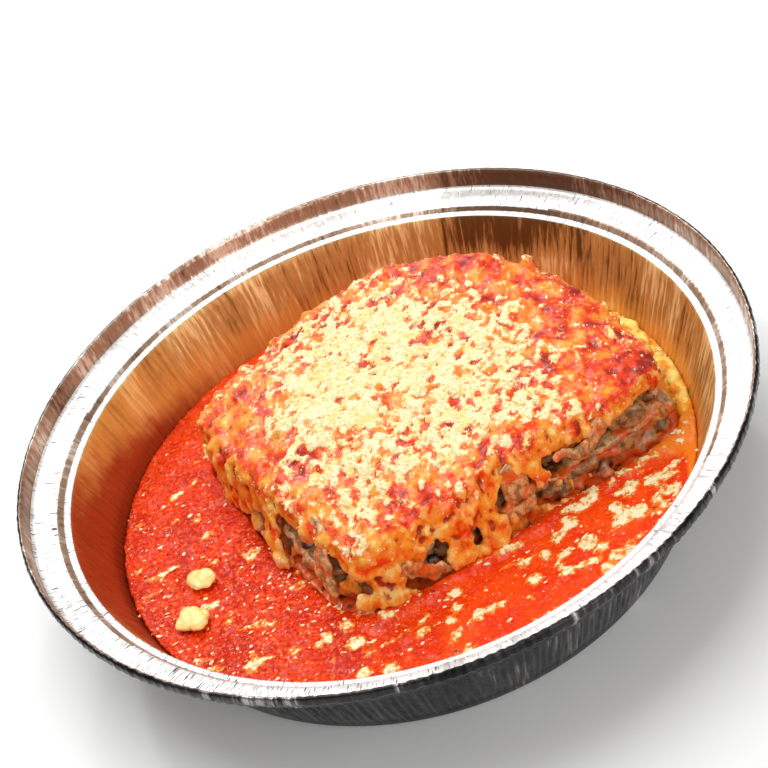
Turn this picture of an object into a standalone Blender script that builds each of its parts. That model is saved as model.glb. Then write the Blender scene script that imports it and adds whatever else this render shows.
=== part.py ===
"""A lasagne slice in a round foil take-out pan, standing in tomato sauce under grated cheese.

Lengths are metres, +Z is up and the origin is the middle of the pan's base, where it stands.
The slice is a stack of layers. One height function gives every boundary between two layers, and
one plan outline, which shrinks with height, gives how far each layer reaches.
"""

import math
import random

import bmesh
import bpy
from mathutils import Matrix, Vector

MM = 0.001
COLUMNS = 64
GAP = 0.4 * MM

# Pan
PAN_HEIGHT = 48.0 * MM
LIP_RADIUS = 114.2 * MM
HEM_RADIUS = 115.2 * MM
HEM_HEIGHT = 3.4 * MM
LIP_HEIGHT = 6.4 * MM
LEDGE_OUTER = 112.7 * MM
LEDGE_INNER = 104.8 * MM
LEDGE_RISE = 1.4 * MM
STEP_WIDTH = 2.1 * MM
STEP_HEIGHT = 1.9 * MM
WALL_TOP_RADIUS = 100.6 * MM
WALL_FOOT_RADIUS = 87.2 * MM
WALL_FOOT_HEIGHT = 3.4 * MM
BASE_RADIUS = 84.0 * MM
PANEL_RADIUS = 66.0 * MM
PANEL_RISE = 0.6 * MM
FOIL = 0.6 * MM
FLOOR_TOP = 1.2 * MM
PLEAT_DEPTH = 0.5 * MM

# Slice: its place in the pan, its four cut sides and its two slumped corners.
SLICE_CENTRE = Vector((12.0 * MM, 4.0 * MM, 0.0))
SLICE_TURN = math.radians(16.0)
SIDES = (  # side, direction it faces in degrees, distance at the foot, distance at the top
    ("right", 0.0, 68.0 * MM, 63.0 * MM),
    ("slumped back corner", 44.0, 62.0 * MM, 57.5 * MM),
    ("back", 90.0, 61.5 * MM, 57.5 * MM),
    ("left", 180.0, 61.0 * MM, 55.0 * MM),
    ("slumped front corner", -158.0, 71.0 * MM, 56.0 * MM),
    ("front", 270.0, 49.5 * MM, 42.0 * MM),
)
CORNER_SHARPNESS = 9.0
WALL_CLEARANCE = 3.0 * MM
SIDE_WAVE = 0.9 * MM
TOP_HEIGHT = 45.5 * MM
DOME = 3.6 * MM
DOME_POWER = 2.4
LEAN = 3.0 * MM
LEAN_TOWARDS = math.radians(80.0)
SLUMPS = (  # direction in degrees, half width in degrees, how much lower the edge of the top is
    (134.0, 33.0, 10.5 * MM),
    (80.0, 20.0, -1.6 * MM),
    (38.0, 17.0, -4.0 * MM),
    (10.0, 12.0, 1.0 * MM),
    (-30.0, 26.0, 5.0 * MM),
    (-140.0, 26.0, 6.5 * MM),
)
SHOULDER_DROP = 1.4 * MM

# Layers from the pan's floor up: lower and upper height at the slice's edge.
BASE = (1.6 * MM, 13.2 * MM)
SHEET_1 = (13.2 * MM, 15.8 * MM)
FILLING_LOW = (15.8 * MM, 24.0 * MM)
SHEET_2 = (24.0 * MM, 26.6 * MM)
FILLING_HIGH = (26.6 * MM, 35.0 * MM)
SHEET_3 = (35.0 * MM, 37.4 * MM)
RUFFLE_HEIGHT = 1.1 * MM
EDGE_BAND = 0.86
SHEET_REACH = 1.2 * MM
FILLING_REACH = -1.6 * MM
FILLING_LUMP = 0.9 * MM

# Melted cheese topping: how far it hangs down the sides, in general and in its drips.
HEM_LEVEL = 32.5 * MM
HEM_WAVE = 0.8 * MM
HEM_OVERLAP = 5.0 * MM
DRIPS = (  # direction in degrees, half width in degrees, extra drop
    (-131.0, 13.0, 13.5 * MM),
    (-104.0, 7.0, 9.0 * MM),
    (-62.0, 9.0, 2.0 * MM),
    (160.0, 14.0, 14.0 * MM),
    (143.0, 8.0, 8.0 * MM),
    (96.0, 12.0, 6.0 * MM),
    (60.0, 9.0, 4.0 * MM),
    (16.0, 10.0, 3.5 * MM),
)
TOPPING_PROUD = 1.0 * MM
TOPPING_WALL = 3.3 * MM
TUCK = 2.0 * MM

# Sauce
SAUCE_LEVEL = 15.5 * MM
SAUCE_RIPPLE = 0.3 * MM
SAUCE_LEAST_WIDTH = 1.2 * MM

# Clumps of grated cheese
TOP_CLUMPS = 64
SAUCE_CLUMPS = 34
CLUMP_SIZE = (2.2 * MM, 4.4 * MM)
CLUMP_HEIGHT = (1.1 * MM, 1.7 * MM)
SAUCE_CLUMPS_TOWARDS = -62.0
SAUCE_CLUMPS_SPREAD = 48.0
LUMPS = (  # x, y and half length of each large lump on the sauce
    (-69.2 * MM, -13.7 * MM, 4.6 * MM),
    (-74.3 * MM, -29.3 * MM, 5.4 * MM),
)
LUMP_HEIGHT = 3.4 * MM
LUMP_UNEVENNESS = (0.88, 1.12)
LUMP_WIDTH = (0.65, 0.95)
TOP_CLUMPS_REACH = 0.88
CLUMP_MARGIN = 1.5 * MM
SEED = 7


def clear_scene():
    for obj in list(bpy.data.objects):
        bpy.data.objects.remove(obj, do_unlink=True)


def material(name, colour, roughness, metallic=0.0):
    made = bpy.data.materials.new(name)
    made.use_nodes = True
    shader = made.node_tree.nodes["Principled BSDF"]
    shader.inputs["Base Color"].default_value = (*colour, 1.0)
    shader.inputs["Roughness"].default_value = roughness
    shader.inputs["Metallic"].default_value = metallic
    return made


def add_object(name, bm, made_of, collection=None):
    """Turns a finished bmesh into an object of its own, with its faces pointing out."""
    bmesh.ops.recalc_face_normals(bm, faces=bm.faces)
    if bm.calc_volume(signed=True) < 0.0:
        bmesh.ops.reverse_faces(bm, faces=bm.faces)
    bmesh.ops.triangulate(bm, faces=bm.faces)
    mesh = bpy.data.meshes.new(name)
    bm.to_mesh(mesh)
    bm.free()
    mesh.shade_smooth()
    mesh.set_sharp_from_angle(angle=math.radians(50.0))
    mesh.materials.append(made_of)
    obj = bpy.data.objects.new(name, mesh)
    (collection or bpy.context.scene.collection).objects.link(obj)
    return obj


def smooth(low, high, value):
    """0 below low, 1 above high, and an S curve between."""
    share = min(1.0, max(0.0, (value - low) / (high - low)))
    return share * share * (3.0 - 2.0 * share)


def spun(points, closed):
    """Spins a profile of (radius, height) points once round the Z axis."""
    bm = bmesh.new()
    chain = [bm.verts.new((radius, 0.0, height)) for radius, height in points]
    links = zip(chain, chain[1:] + chain[:1] if closed else chain[1:])
    edges = [bm.edges.new(pair) for pair in links]
    bmesh.ops.spin(
        bm,
        geom=chain + edges,
        axis=(0.0, 0.0, 1.0),
        cent=(0.0, 0.0, 0.0),
        angle=math.tau,
        steps=COLUMNS,
        use_merge=True,
    )
    bmesh.ops.remove_doubles(bm, verts=bm.verts, dist=1e-6)
    return bm


def shaped_puck(rows):
    """A closed body whose outside is a stack of rings. Each row gives (radius, height) by angle.

    The first and the last row are the middle of the top and of the underside."""
    last = len(rows) - 1
    bm = spun([(0.0 if row in (0, last) else 1.0, row) for row in range(last + 1)], False)
    for vert in bm.verts:
        radius, height = rows[round(vert.co.z)](math.atan2(vert.co.y, vert.co.x))
        vert.co = on_slice(math.atan2(vert.co.y, vert.co.x), radius, height)
    return bm


def on_slice(angle, radius, height):
    """A point given by its direction and distance from the slice's middle, turned with the slice."""
    turned = angle + SLICE_TURN
    return SLICE_CENTRE + Vector((radius * math.cos(turned), radius * math.sin(turned), height))


def slice_radius(angle, height):
    """How far the slice's outside reaches in one direction at one height."""
    rise = min(1.0, max(0.0, height / TOP_HEIGHT))
    total = 0.0
    for _, facing, foot, top in SIDES:
        towards = math.cos(angle - math.radians(facing))
        if towards > 0.0:
            total += (towards / (foot + (top - foot) * rise)) ** CORNER_SHARPNESS
    wave = math.sin(7 * angle + 1.0) + 0.6 * math.sin(12 * angle + 120.0 * height)
    return total ** (-1.0 / CORNER_SHARPNESS) + SIDE_WAVE * 0.6 * wave


def bump(angle, facing, half_width):
    """1 in the direction faced, fading to 0 on both sides. The angle is in radians, the rest in degrees."""
    off = math.degrees(math.remainder(angle - math.radians(facing), math.tau))
    return math.exp(-((off / half_width) ** 2))


def crown_height(angle, share):
    """The top of the melted cheese, at a share of the way from the middle to the slice's edge."""
    slump = sum(drop * bump(angle, facing, half_width) for facing, half_width, drop in SLUMPS)
    lean = LEAN * math.cos(angle - LEAN_TOWARDS)
    return TOP_HEIGHT + DOME * (1.0 - share**DOME_POWER) + lean * share - slump * share**2


def boundary_height(level, angle, share):
    """The boundary between two layers. It stays level beyond the edge band, so that layers of
    different reach still meet there without crossing."""
    rise = level / TOP_HEIGHT
    share = min(share, EDGE_BAND)
    ruffle = math.sin(11 * angle + 2.0 * math.pi * rise) + 0.5 * math.sin(18 * angle)
    ruffle *= RUFFLE_HEIGHT * math.sin(math.pi * rise) * share / EDGE_BAND
    return level + rise * (crown_height(angle, share) - TOP_HEIGHT) + ruffle


def hem_height(angle):
    """How low the melted topping hangs in one direction."""
    drop = sum(drop * bump(angle, facing, half_width) for facing, half_width, drop in DRIPS)
    return HEM_LEVEL + HEM_WAVE * math.sin(9 * angle) - drop


def layer_reach(angle, heights, reach):
    """A layer's outline: drawn in behind the topping where that hangs over it."""
    lower, upper = heights
    inside_pan = pan_edge_from_slice(angle, wall_radius(lower) - WALL_CLEARANCE)
    bare = min(slice_radius(angle, (lower + upper) / 2) + reach, inside_pan)
    behind = slice_radius(angle, upper + TUCK) - TOPPING_WALL - 2 * GAP
    covered = smooth(0.0, TUCK, upper + HEM_OVERLAP - hem_height(angle))
    return bare + (min(bare, behind) - bare) * covered


def layer(name, heights, reach, made_of, lump=0.0):
    """One pasta sheet or one band of filling, from the slice's middle out to its uneven edge."""
    lower, upper = heights
    middle = (lower + upper) / 2

    def edge_radius(angle, grow=0.0):
        bumps = lump * (math.sin(17 * angle + 400.0 * middle) + math.sin(26 * angle)) / 2
        return layer_reach(angle, heights, reach) + grow + min(0.0, bumps)

    def band(level, share, side):
        def row(angle):
            radius = slice_radius(angle, TOP_HEIGHT) * share
            return radius, boundary_height(level, angle, share) + side * GAP / 2

        return row

    def rim(level, side):
        def row(angle):
            return edge_radius(angle, draw_in), boundary_height(level, angle, 1.0) + side * GAP / 2

        return row

    def bulge(angle):
        heights_here = [boundary_height(level, angle, 1.0) for level in heights]
        return edge_radius(angle), sum(heights_here) / 2

    draw_in = -min(0.8 * MM, (upper - lower) / 4)
    rows = (
        band(upper, 0.0, -1.0),
        band(upper, EDGE_BAND, -1.0),
        rim(upper, -1.0),
        bulge,
        rim(lower, 1.0),
        band(lower, EDGE_BAND, 1.0),
        band(lower, 0.0, 1.0),
    )
    return add_object(name, shaped_puck(rows), made_of)


def topping_rows():
    """The melted cheese: over the top, down the outside to its hem, and back up the inside."""

    def crown(share):
        def row(angle):
            return slice_radius(angle, TOP_HEIGHT) * share, crown_height(angle, share)

        return row

    def side(share, proud, lift=0.0):
        def row(angle):
            start = crown_height(angle, 1.0) - SHOULDER_DROP
            height = start + (hem_height(angle) + lift - start) * share
            return slice_radius(angle, height) + proud, height

        return row

    def inside(share):
        def row(angle):
            top = boundary_height(SHEET_3[1], angle, 1.0) + GAP / 2
            height = top + (hem_height(angle) - top) * share
            return slice_radius(angle, height) - TOPPING_WALL, height

        return row

    def underside(share):
        def row(angle):
            height = boundary_height(SHEET_3[1], angle, share) + GAP / 2
            return slice_radius(angle, TOP_HEIGHT) * share, height

        return row

    return (
        crown(0.0),
        crown(0.3),
        crown(0.58),
        crown(0.8),
        crown(0.95),
        side(0.0, 0.2 * MM),
        side(0.4, TOPPING_PROUD),
        side(0.75, TOPPING_PROUD),
        side(1.0, TOPPING_PROUD / 2, 0.7 * MM),
        side(1.0, TOPPING_PROUD - TOPPING_WALL / 2),
        side(1.0, 0.8 * MM - TOPPING_WALL, 0.9 * MM),
        inside(0.5),
        inside(0.0),
        underside(EDGE_BAND),
        underside(0.0),
    )


def pan_profile():
    """Half of the pan's section, from the middle of its floor, over the lip, to the underside."""
    ledge_top = PAN_HEIGHT - LIP_HEIGHT
    ledge_foot = ledge_top - LEDGE_RISE
    shelf = ledge_foot - STEP_HEIGHT
    step_foot = LEDGE_INNER - STEP_WIDTH
    wall_top = shelf - 0.4 * MM
    middle_radius = (WALL_TOP_RADIUS + WALL_FOOT_RADIUS) / 2
    middle_height = (wall_top + WALL_FOOT_HEIGHT) / 2
    hem_foot = PAN_HEIGHT - HEM_HEIGHT
    return (
        (0.0, FLOOR_TOP),
        (BASE_RADIUS, FLOOR_TOP),
        (WALL_FOOT_RADIUS, WALL_FOOT_HEIGHT),
        (middle_radius, middle_height),
        (WALL_TOP_RADIUS, wall_top),
        (step_foot, shelf),
        (LEDGE_INNER, ledge_foot),
        (LEDGE_OUTER, ledge_top),
        (LIP_RADIUS - FOIL, PAN_HEIGHT - FOIL),
        (LIP_RADIUS, PAN_HEIGHT),
        (HEM_RADIUS, PAN_HEIGHT - FOIL),
        (HEM_RADIUS, hem_foot + FOIL),
        (LIP_RADIUS, hem_foot),
        (LEDGE_OUTER + FOIL, ledge_top - FOIL),
        (LEDGE_INNER + FOIL / 2, ledge_foot - FOIL),
        (step_foot + FOIL, shelf - FOIL),
        (WALL_TOP_RADIUS + FOIL, wall_top - FOIL),
        (middle_radius + FOIL, middle_height),
        (WALL_FOOT_RADIUS + FOIL, WALL_FOOT_HEIGHT - FOIL / 2),
        (BASE_RADIUS + FOIL, 0.0),
        (PANEL_RADIUS + PANEL_RISE, 0.0),
        (PANEL_RADIUS, PANEL_RISE),
        (0.0, PANEL_RISE),
    )


def between(start, end, value):
    """The radius at one height on a straight line between two (radius, height) points."""
    share = (value - start[1]) / (end[1] - start[1])
    return start[0] + share * (end[0] - start[0])


def wall_radius(height):
    """The pan's inside at one height: its rounded heel, then its slanted wall."""
    heel, foot, top = (pan_profile()[point] for point in (1, 2, 4))
    return between(heel, foot, height) if height < foot[1] else between(foot, top, height)


def pleat(bm):
    """Folds every second column of the wall outwards, and crimps the ledge a little."""
    ledge_top = PAN_HEIGHT - LIP_HEIGHT
    for vert in bm.verts:
        radius = math.hypot(vert.co.x, vert.co.y)
        column = round(math.atan2(vert.co.y, vert.co.x) / (math.tau / COLUMNS))
        fold = PLEAT_DEPTH * (column % 2)
        on_wall = WALL_FOOT_RADIUS - FOIL < radius < WALL_TOP_RADIUS + 2 * FOIL
        on_ledge = LEDGE_INNER - FOIL < radius < LEDGE_OUTER + 2 * FOIL
        if on_wall:
            grown = (radius + fold) / radius
            vert.co.x *= grown
            vert.co.y *= grown
        elif on_ledge and vert.co.z < ledge_top:
            vert.co.z -= fold / 2


def build_pan(foil):
    bm = spun(pan_profile(), False)
    pleat(bm)
    return add_object("foil_pan", bm, foil)


def sauce_surface(angle, share):
    """The sauce's top: level, with slow ripples that die out where it meets pan and slice."""
    ripple = math.sin(5 * angle + 1.5) + math.sin(9 * angle) * 0.6
    return SAUCE_LEVEL + SAUCE_RIPPLE * math.sin(math.pi * share) * ripple


def slice_edge_in_pan(angle, height):
    """The slice's outline in one direction from the slice's middle, clear of all its layers."""
    reach = max(layer_reach(angle, BASE, FILLING_REACH), layer_reach(angle, SHEET_1, SHEET_REACH))
    if hem_height(angle) < height + TUCK:
        reach = max(reach, slice_radius(angle, height) + TOPPING_PROUD)
    return reach + GAP


def pan_edge_from_slice(angle, radius):
    """Distance from the slice's middle to the circle of that radius round the pan's middle."""
    turned = angle + SLICE_TURN
    along = SLICE_CENTRE.x * math.cos(turned) + SLICE_CENTRE.y * math.sin(turned)
    return -along + math.sqrt(along**2 + radius**2 - SLICE_CENTRE.length_squared)


def build_sauce(red_sauce):
    """A ring of sauce between the slice and the pan's wall, standing on the pan's floor."""
    floor = FLOOR_TOP + GAP

    def corner(share, height):
        def row(angle):
            outer = pan_edge_from_slice(angle, wall_radius(height) - GAP)
            inner = min(slice_edge_in_pan(angle, SAUCE_LEVEL), outer - SAUCE_LEAST_WIDTH)
            top = sauce_surface(angle, share) if height == SAUCE_LEVEL else height
            return inner + (outer - inner) * share, top

        return row

    rows = (
        corner(0.0, SAUCE_LEVEL),
        corner(0.33, SAUCE_LEVEL),
        corner(0.67, SAUCE_LEVEL),
        corner(1.0, SAUCE_LEVEL),
        corner(1.0, WALL_FOOT_HEIGHT),
        corner(1.0, floor),
        corner(0.0, floor),
        corner(0.0, WALL_FOOT_HEIGHT),
    )
    tube_radius, steps = 3.0, len(rows)
    turns = [math.tau * row / steps for row in range(steps)]
    bm = spun([(tube_radius + math.cos(turn), math.sin(turn)) for turn in turns], True)
    for vert in bm.verts:
        angle = math.atan2(vert.co.y, vert.co.x)
        turn = math.atan2(vert.co.z, math.hypot(vert.co.x, vert.co.y) - tube_radius)
        vert.co = on_slice(angle, *rows[round(turn / math.tau * steps) % steps](angle))
    return add_object("tomato_sauce", bm, red_sauce)


def pebble(name, size, squash, subdivisions, draw, place, made_of, collection=None):
    """An uneven rounded lump of cheese: size is its half length, squash its half height.

    A lump that joins no collection lies on the sauce by itself, so its underside is flat."""
    bm = bmesh.new()
    bmesh.ops.create_icosphere(bm, subdivisions=subdivisions, radius=1.0)
    for vert in bm.verts:
        vert.co *= draw.uniform(*LUMP_UNEVENNESS)
        if collection is None:
            vert.co.z = max(vert.co.z, 0.0)
    scale = Matrix.Diagonal((size, size * draw.uniform(*LUMP_WIDTH), squash, 1.0))
    turn = Matrix.Rotation(draw.uniform(0.0, math.tau), 4, "Z")
    bmesh.ops.transform(bm, matrix=Matrix.Translation(place) @ turn @ scale, verts=bm.verts)
    return add_object(name, bm, made_of, collection)


def fuse(body, pieces):
    """Joins the clumps to the body that they lie on, and removes them."""
    union = body.modifiers.new("clumps", "BOOLEAN")
    union.operation = "UNION"
    union.operand_type = "COLLECTION"
    union.collection = pieces
    union.solver = "EXACT"
    graph = bpy.context.evaluated_depsgraph_get()
    joined = bpy.data.meshes.new_from_object(body.evaluated_get(graph))
    body.modifiers.remove(union)
    body.data = joined
    for obj in list(pieces.objects):
        bpy.data.objects.remove(obj, do_unlink=True)
    bpy.data.collections.remove(pieces)


def new_collection(name):
    made = bpy.data.collections.new(name)
    bpy.context.scene.collection.children.link(made)
    return made


def scatter_on_topping(topping, cheese, draw):
    """Clumps over the top of the slice, most of them near its middle."""
    pieces = new_collection("topping_clumps")
    for number in range(TOP_CLUMPS):
        angle = number * math.pi * (3.0 - math.sqrt(5.0)) + draw.uniform(-0.2, 0.2)
        share = TOP_CLUMPS_REACH * math.sqrt((number + 0.5) / TOP_CLUMPS)
        radius = slice_radius(math.remainder(angle, math.tau), TOP_HEIGHT) * share
        height = crown_height(angle, share)
        size = draw.uniform(*CLUMP_SIZE) * (1.25 - 0.5 * share)
        place = on_slice(angle, radius, height)
        pebble("clump", size, draw.uniform(*CLUMP_HEIGHT), 1, draw, place, cheese, pieces)
    fuse(topping, pieces)


def build_lumps(cheese, draw):
    """The larger lumps of cheese that lie on the sauce, each with a flat underside."""
    floor = SAUCE_LEVEL + 2.0 * SAUCE_RIPPLE + GAP
    for number, (x, y, half_length) in enumerate(LUMPS, 1):
        place = Vector((x, y, floor))
        pebble(f"cheese_lump_{number}", half_length, LUMP_HEIGHT, 2, draw, place, cheese)


def free_share(x, y, margin):
    """Where a point lies across the ring of sauce, 0 at the slice and 1 at the wall.

    Nothing is given for a point that is within the margin of the slice, the wall or a lump."""
    across = Vector((x, y, 0.0)) - SLICE_CENTRE
    angle = math.atan2(across.y, across.x) - SLICE_TURN
    inner = slice_edge_in_pan(angle, SAUCE_LEVEL)
    outer = pan_edge_from_slice(angle, wall_radius(SAUCE_LEVEL))
    lumps_clear = all(math.dist((x, y), lump[:2]) > margin + lump[2] for lump in LUMPS)
    if inner + margin < across.length < outer - margin and lumps_clear:
        return angle, (across.length - inner) / (outer - inner)
    return None


def scatter_on_sauce(sauce, cheese, draw):
    """Clumps afloat on the sauce, most of them in front of the slice and to its right."""
    pieces = new_collection("sauce_clumps")
    placed = 0
    while placed < SAUCE_CLUMPS:
        angle = math.radians(draw.gauss(SAUCE_CLUMPS_TOWARDS, SAUCE_CLUMPS_SPREAD))
        radius = wall_radius(SAUCE_LEVEL) * math.sqrt(draw.uniform(0.2, 1.0))
        size = draw.uniform(*CLUMP_SIZE)
        x, y = radius * math.cos(angle), radius * math.sin(angle)
        found = free_share(x, y, size + CLUMP_MARGIN)
        if found is None:
            continue
        place = Vector((x, y, sauce_surface(*found)))
        pebble("clump", size, draw.uniform(*CLUMP_HEIGHT), 1, draw, place, cheese, pieces)
        placed += 1
    fuse(sauce, pieces)


def build():
    clear_scene()
    draw = random.Random(SEED)
    foil = material("aluminium_foil", (0.82, 0.82, 0.83), 0.28, 1.0)
    pasta = material("cooked_pasta", (0.72, 0.42, 0.17), 0.4)
    meat = material("meat_filling", (0.27, 0.16, 0.08), 0.5)
    melted = material("melted_cheese", (0.86, 0.45, 0.14), 0.35)
    red_sauce = material("red_sauce", (0.72, 0.07, 0.01), 0.25)

    build_pan(foil)
    sauce = build_sauce(red_sauce)
    layer("slice_base", BASE, FILLING_REACH, meat, FILLING_LUMP)
    layer("pasta_sheet_1", SHEET_1, SHEET_REACH, pasta)
    layer("meat_filling_1", FILLING_LOW, FILLING_REACH, meat, FILLING_LUMP)
    layer("pasta_sheet_2", SHEET_2, SHEET_REACH, pasta)
    layer("meat_filling_2", FILLING_HIGH, FILLING_REACH, meat, FILLING_LUMP)
    layer("pasta_sheet_3", SHEET_3, SHEET_REACH, pasta)
    topping = add_object("cheese_topping", shaped_puck(topping_rows()), melted)
    scatter_on_topping(topping, melted, draw)
    scatter_on_sauce(sauce, melted, draw)
    build_lumps(melted, draw)


build()
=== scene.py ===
# %% [markdown]
# A slice of lasagne stands in a round foil take-out pan, in red sauce and under grated cheese.
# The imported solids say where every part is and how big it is. This lesson dresses them: foil
# with its pleats, grainy sauce, layers that sag and ooze, and thousands of crumbs of cheese.

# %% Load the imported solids
import math

import bmesh
import bpy
import numpy as np
from mathutils import Euler, Matrix, Vector, noise


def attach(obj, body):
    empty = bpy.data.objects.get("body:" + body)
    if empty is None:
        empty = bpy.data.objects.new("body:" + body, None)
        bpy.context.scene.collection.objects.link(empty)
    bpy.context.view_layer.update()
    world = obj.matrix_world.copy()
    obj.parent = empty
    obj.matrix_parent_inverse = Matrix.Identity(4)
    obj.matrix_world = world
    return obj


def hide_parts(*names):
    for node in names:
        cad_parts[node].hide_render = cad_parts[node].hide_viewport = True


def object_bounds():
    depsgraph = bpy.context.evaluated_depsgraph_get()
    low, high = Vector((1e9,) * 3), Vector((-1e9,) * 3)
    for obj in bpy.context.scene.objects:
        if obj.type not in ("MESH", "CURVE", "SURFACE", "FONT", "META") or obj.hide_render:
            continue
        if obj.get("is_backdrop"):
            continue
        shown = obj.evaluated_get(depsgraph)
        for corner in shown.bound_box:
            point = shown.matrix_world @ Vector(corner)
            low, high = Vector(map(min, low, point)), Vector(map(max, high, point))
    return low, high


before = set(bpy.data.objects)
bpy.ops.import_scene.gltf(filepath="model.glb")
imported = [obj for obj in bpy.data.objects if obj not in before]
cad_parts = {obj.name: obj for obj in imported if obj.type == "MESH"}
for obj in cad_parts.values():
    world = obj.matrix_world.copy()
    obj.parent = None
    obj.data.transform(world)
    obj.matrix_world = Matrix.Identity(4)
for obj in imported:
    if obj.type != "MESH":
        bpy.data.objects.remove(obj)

MM = 0.001
CAD_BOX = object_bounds()
print("solids:", sorted(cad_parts))

# %% [markdown]
# The photograph looks down on the pan from in front, with the camera tipped to one side, so that
# the pan leans in the picture. A long lens far away keeps the round rim a calm ellipse. These
# numbers were fitted to the rim: its centre, its width and height, and its tilt.

# %% Camera
view = bpy.data.cameras.new("camera")
view.sensor_width = 36.0
view.lens = 99.25
view.clip_start = 0.01
camera = bpy.data.objects.new("camera", view)
camera.location = (0.0, -0.49556, 0.45121)
camera.rotation_euler = Euler([math.radians(angle) for angle in (49.454, 15.483, -13.339)])
bpy.context.scene.collection.objects.link(camera)
bpy.context.scene.camera = camera
print("camera lens", view.lens)

# %% [markdown]
# Most pieces here are a solid's own mesh made finer and then worked over, as a cook would pull at
# it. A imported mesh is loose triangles, so a copy is merged before anything else is done to it.
# Numbers for thousands of corners are handled in one table, which is quick and easy to read.


# %% Helpers for meshes
def corners_of(mesh):
    """All corners of a mesh as one table of x, y and z, in metres."""
    table = np.empty(len(mesh.vertices) * 3)
    mesh.vertices.foreach_get("co", table)
    return table.reshape(-1, 3)


def normals_of(mesh):
    table = np.empty(len(mesh.vertices) * 3)
    mesh.vertex_normals.foreach_get("vector", table)
    return table.reshape(-1, 3)


def set_corners(mesh, table):
    mesh.vertices.foreach_set("co", table.ravel())
    mesh.update()


def merged_copy(node):
    """A solid's mesh with its triangles joined at their corners, ready to be worked on."""
    bm = bmesh.new()
    bm.from_mesh(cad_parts[node].data)
    bmesh.ops.remove_doubles(bm, verts=bm.verts, dist=1e-6)
    return bm


def finish_piece(bm, name, *finishes):
    """Turns a bmesh into an object in the scene, smooth shaded, with its materials."""
    mesh = bpy.data.meshes.new(name)
    bm.to_mesh(mesh)
    bm.free()
    mesh.shade_smooth()
    for finish in finishes:
        mesh.materials.append(finish)
    piece = bpy.data.objects.new(name, mesh)
    bpy.context.scene.collection.objects.link(piece)
    return piece


def one_skin(piece, cell, relax=0):
    """Melts everything in a piece into one closed skin of even small faces."""
    cells = piece.modifiers.new("cells", "REMESH")
    cells.mode = "VOXEL"
    cells.voxel_size = cell
    if relax:
        calm = piece.modifiers.new("relax", "SMOOTH")
        calm.iterations = relax
    finishes = list(piece.data.materials)
    graph = bpy.context.evaluated_depsgraph_get()
    skin = bpy.data.meshes.new_from_object(piece.evaluated_get(graph))
    piece.modifiers.clear()
    piece.data = skin
    skin.materials.clear()
    for finish in finishes:
        skin.materials.append(finish)
    skin.shade_smooth()
    print(piece.name, len(skin.polygons) * 2, "triangles")


def wobble(table, size, seed, octaves=3):
    """Soft random values, about -1 to 1, that change over a distance of size."""
    shifted = table / size + 37.0 * seed
    return np.array([noise.fractal(spot, 1.0, 2.0, octaves) for spot in shifted.tolist()])


def ramp(values, low, high):
    """0 below low, 1 above high, and an S curve between."""
    share = np.clip((values - low) / (high - low), 0.0, 1.0)
    return share * share * (3.0 - 2.0 * share)


def bell(values, middle, width, power=2):
    """1 at the middle, fading to 0 on both sides; a higher power keeps it near 1 for longer."""
    return np.exp(-(((values - middle) / width) ** power))


def paint(piece, name, values):
    """Writes one value for every corner, which a material can read by its name."""
    layer = piece.data.attributes.new(name, "FLOAT", "POINT")
    layer.data.foreach_set("value", np.asarray(values, np.float32))


def hollows(mesh, rounds=6):
    """How far each corner lies below its surroundings, in millimetres; negative on a bump.

    More rounds look further around a corner, so they find wider hollows."""
    ends = np.empty(len(mesh.edges) * 2, np.int32)
    mesh.edges.foreach_get("vertices", ends)
    first, second = ends[0::2], ends[1::2]
    here, there = np.concatenate((first, second)), np.concatenate((second, first))
    table = corners_of(mesh)
    count = np.bincount(here, minlength=len(table)).clip(1)[:, None]
    calm = table
    for _ in range(rounds):
        sums = [np.bincount(here, calm[there, axis], len(table)) for axis in range(3)]
        calm = np.stack(sums, 1) / count
    return ((calm - table) * normals_of(mesh)).sum(1) / MM


def place(piece, slot, *nodes):
    """Fixes a piece to the part's one body and lets it replace its solids. The slot is not used."""
    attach(piece, "root")
    if nodes:
        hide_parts(*nodes)


# %% [markdown]
# The slice stands a little off the pan's middle and is turned. Places on it are easier to give in
# its own directions: along its front, across to its back, and up.


# %% Places on the slice
SLICE_X, SLICE_Y = 12.0, 4.0
SLICE_CENTRE = Vector((SLICE_X * MM, SLICE_Y * MM, 0.0))
SLICE_TURN = math.radians(16.0)
SAUCE_LEVEL = 15.5 * MM


def on_slice(along, across, up):
    """A point given in millimetres in the slice's own directions."""
    flat = Vector((along * MM, across * MM, up * MM))
    return SLICE_CENTRE + Matrix.Rotation(SLICE_TURN, 3, "Z") @ flat


def slice_places(table):
    """Along and across, in millimetres, for a table of points."""
    x, y = table[:, 0] / MM - SLICE_X, table[:, 1] / MM - SLICE_Y
    turn_x, turn_y = math.cos(SLICE_TURN), math.sin(SLICE_TURN)
    return x * turn_x + y * turn_y, y * turn_x - x * turn_y


def near(table, along, across, up, reach):
    """1 at a place on the slice, fading to 0 at a few times reach from it; in millimetres."""
    away = np.linalg.norm(table - np.array(on_slice(along, across, up)), axis=1) / MM
    return bell(away, 0.0, reach)


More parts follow.
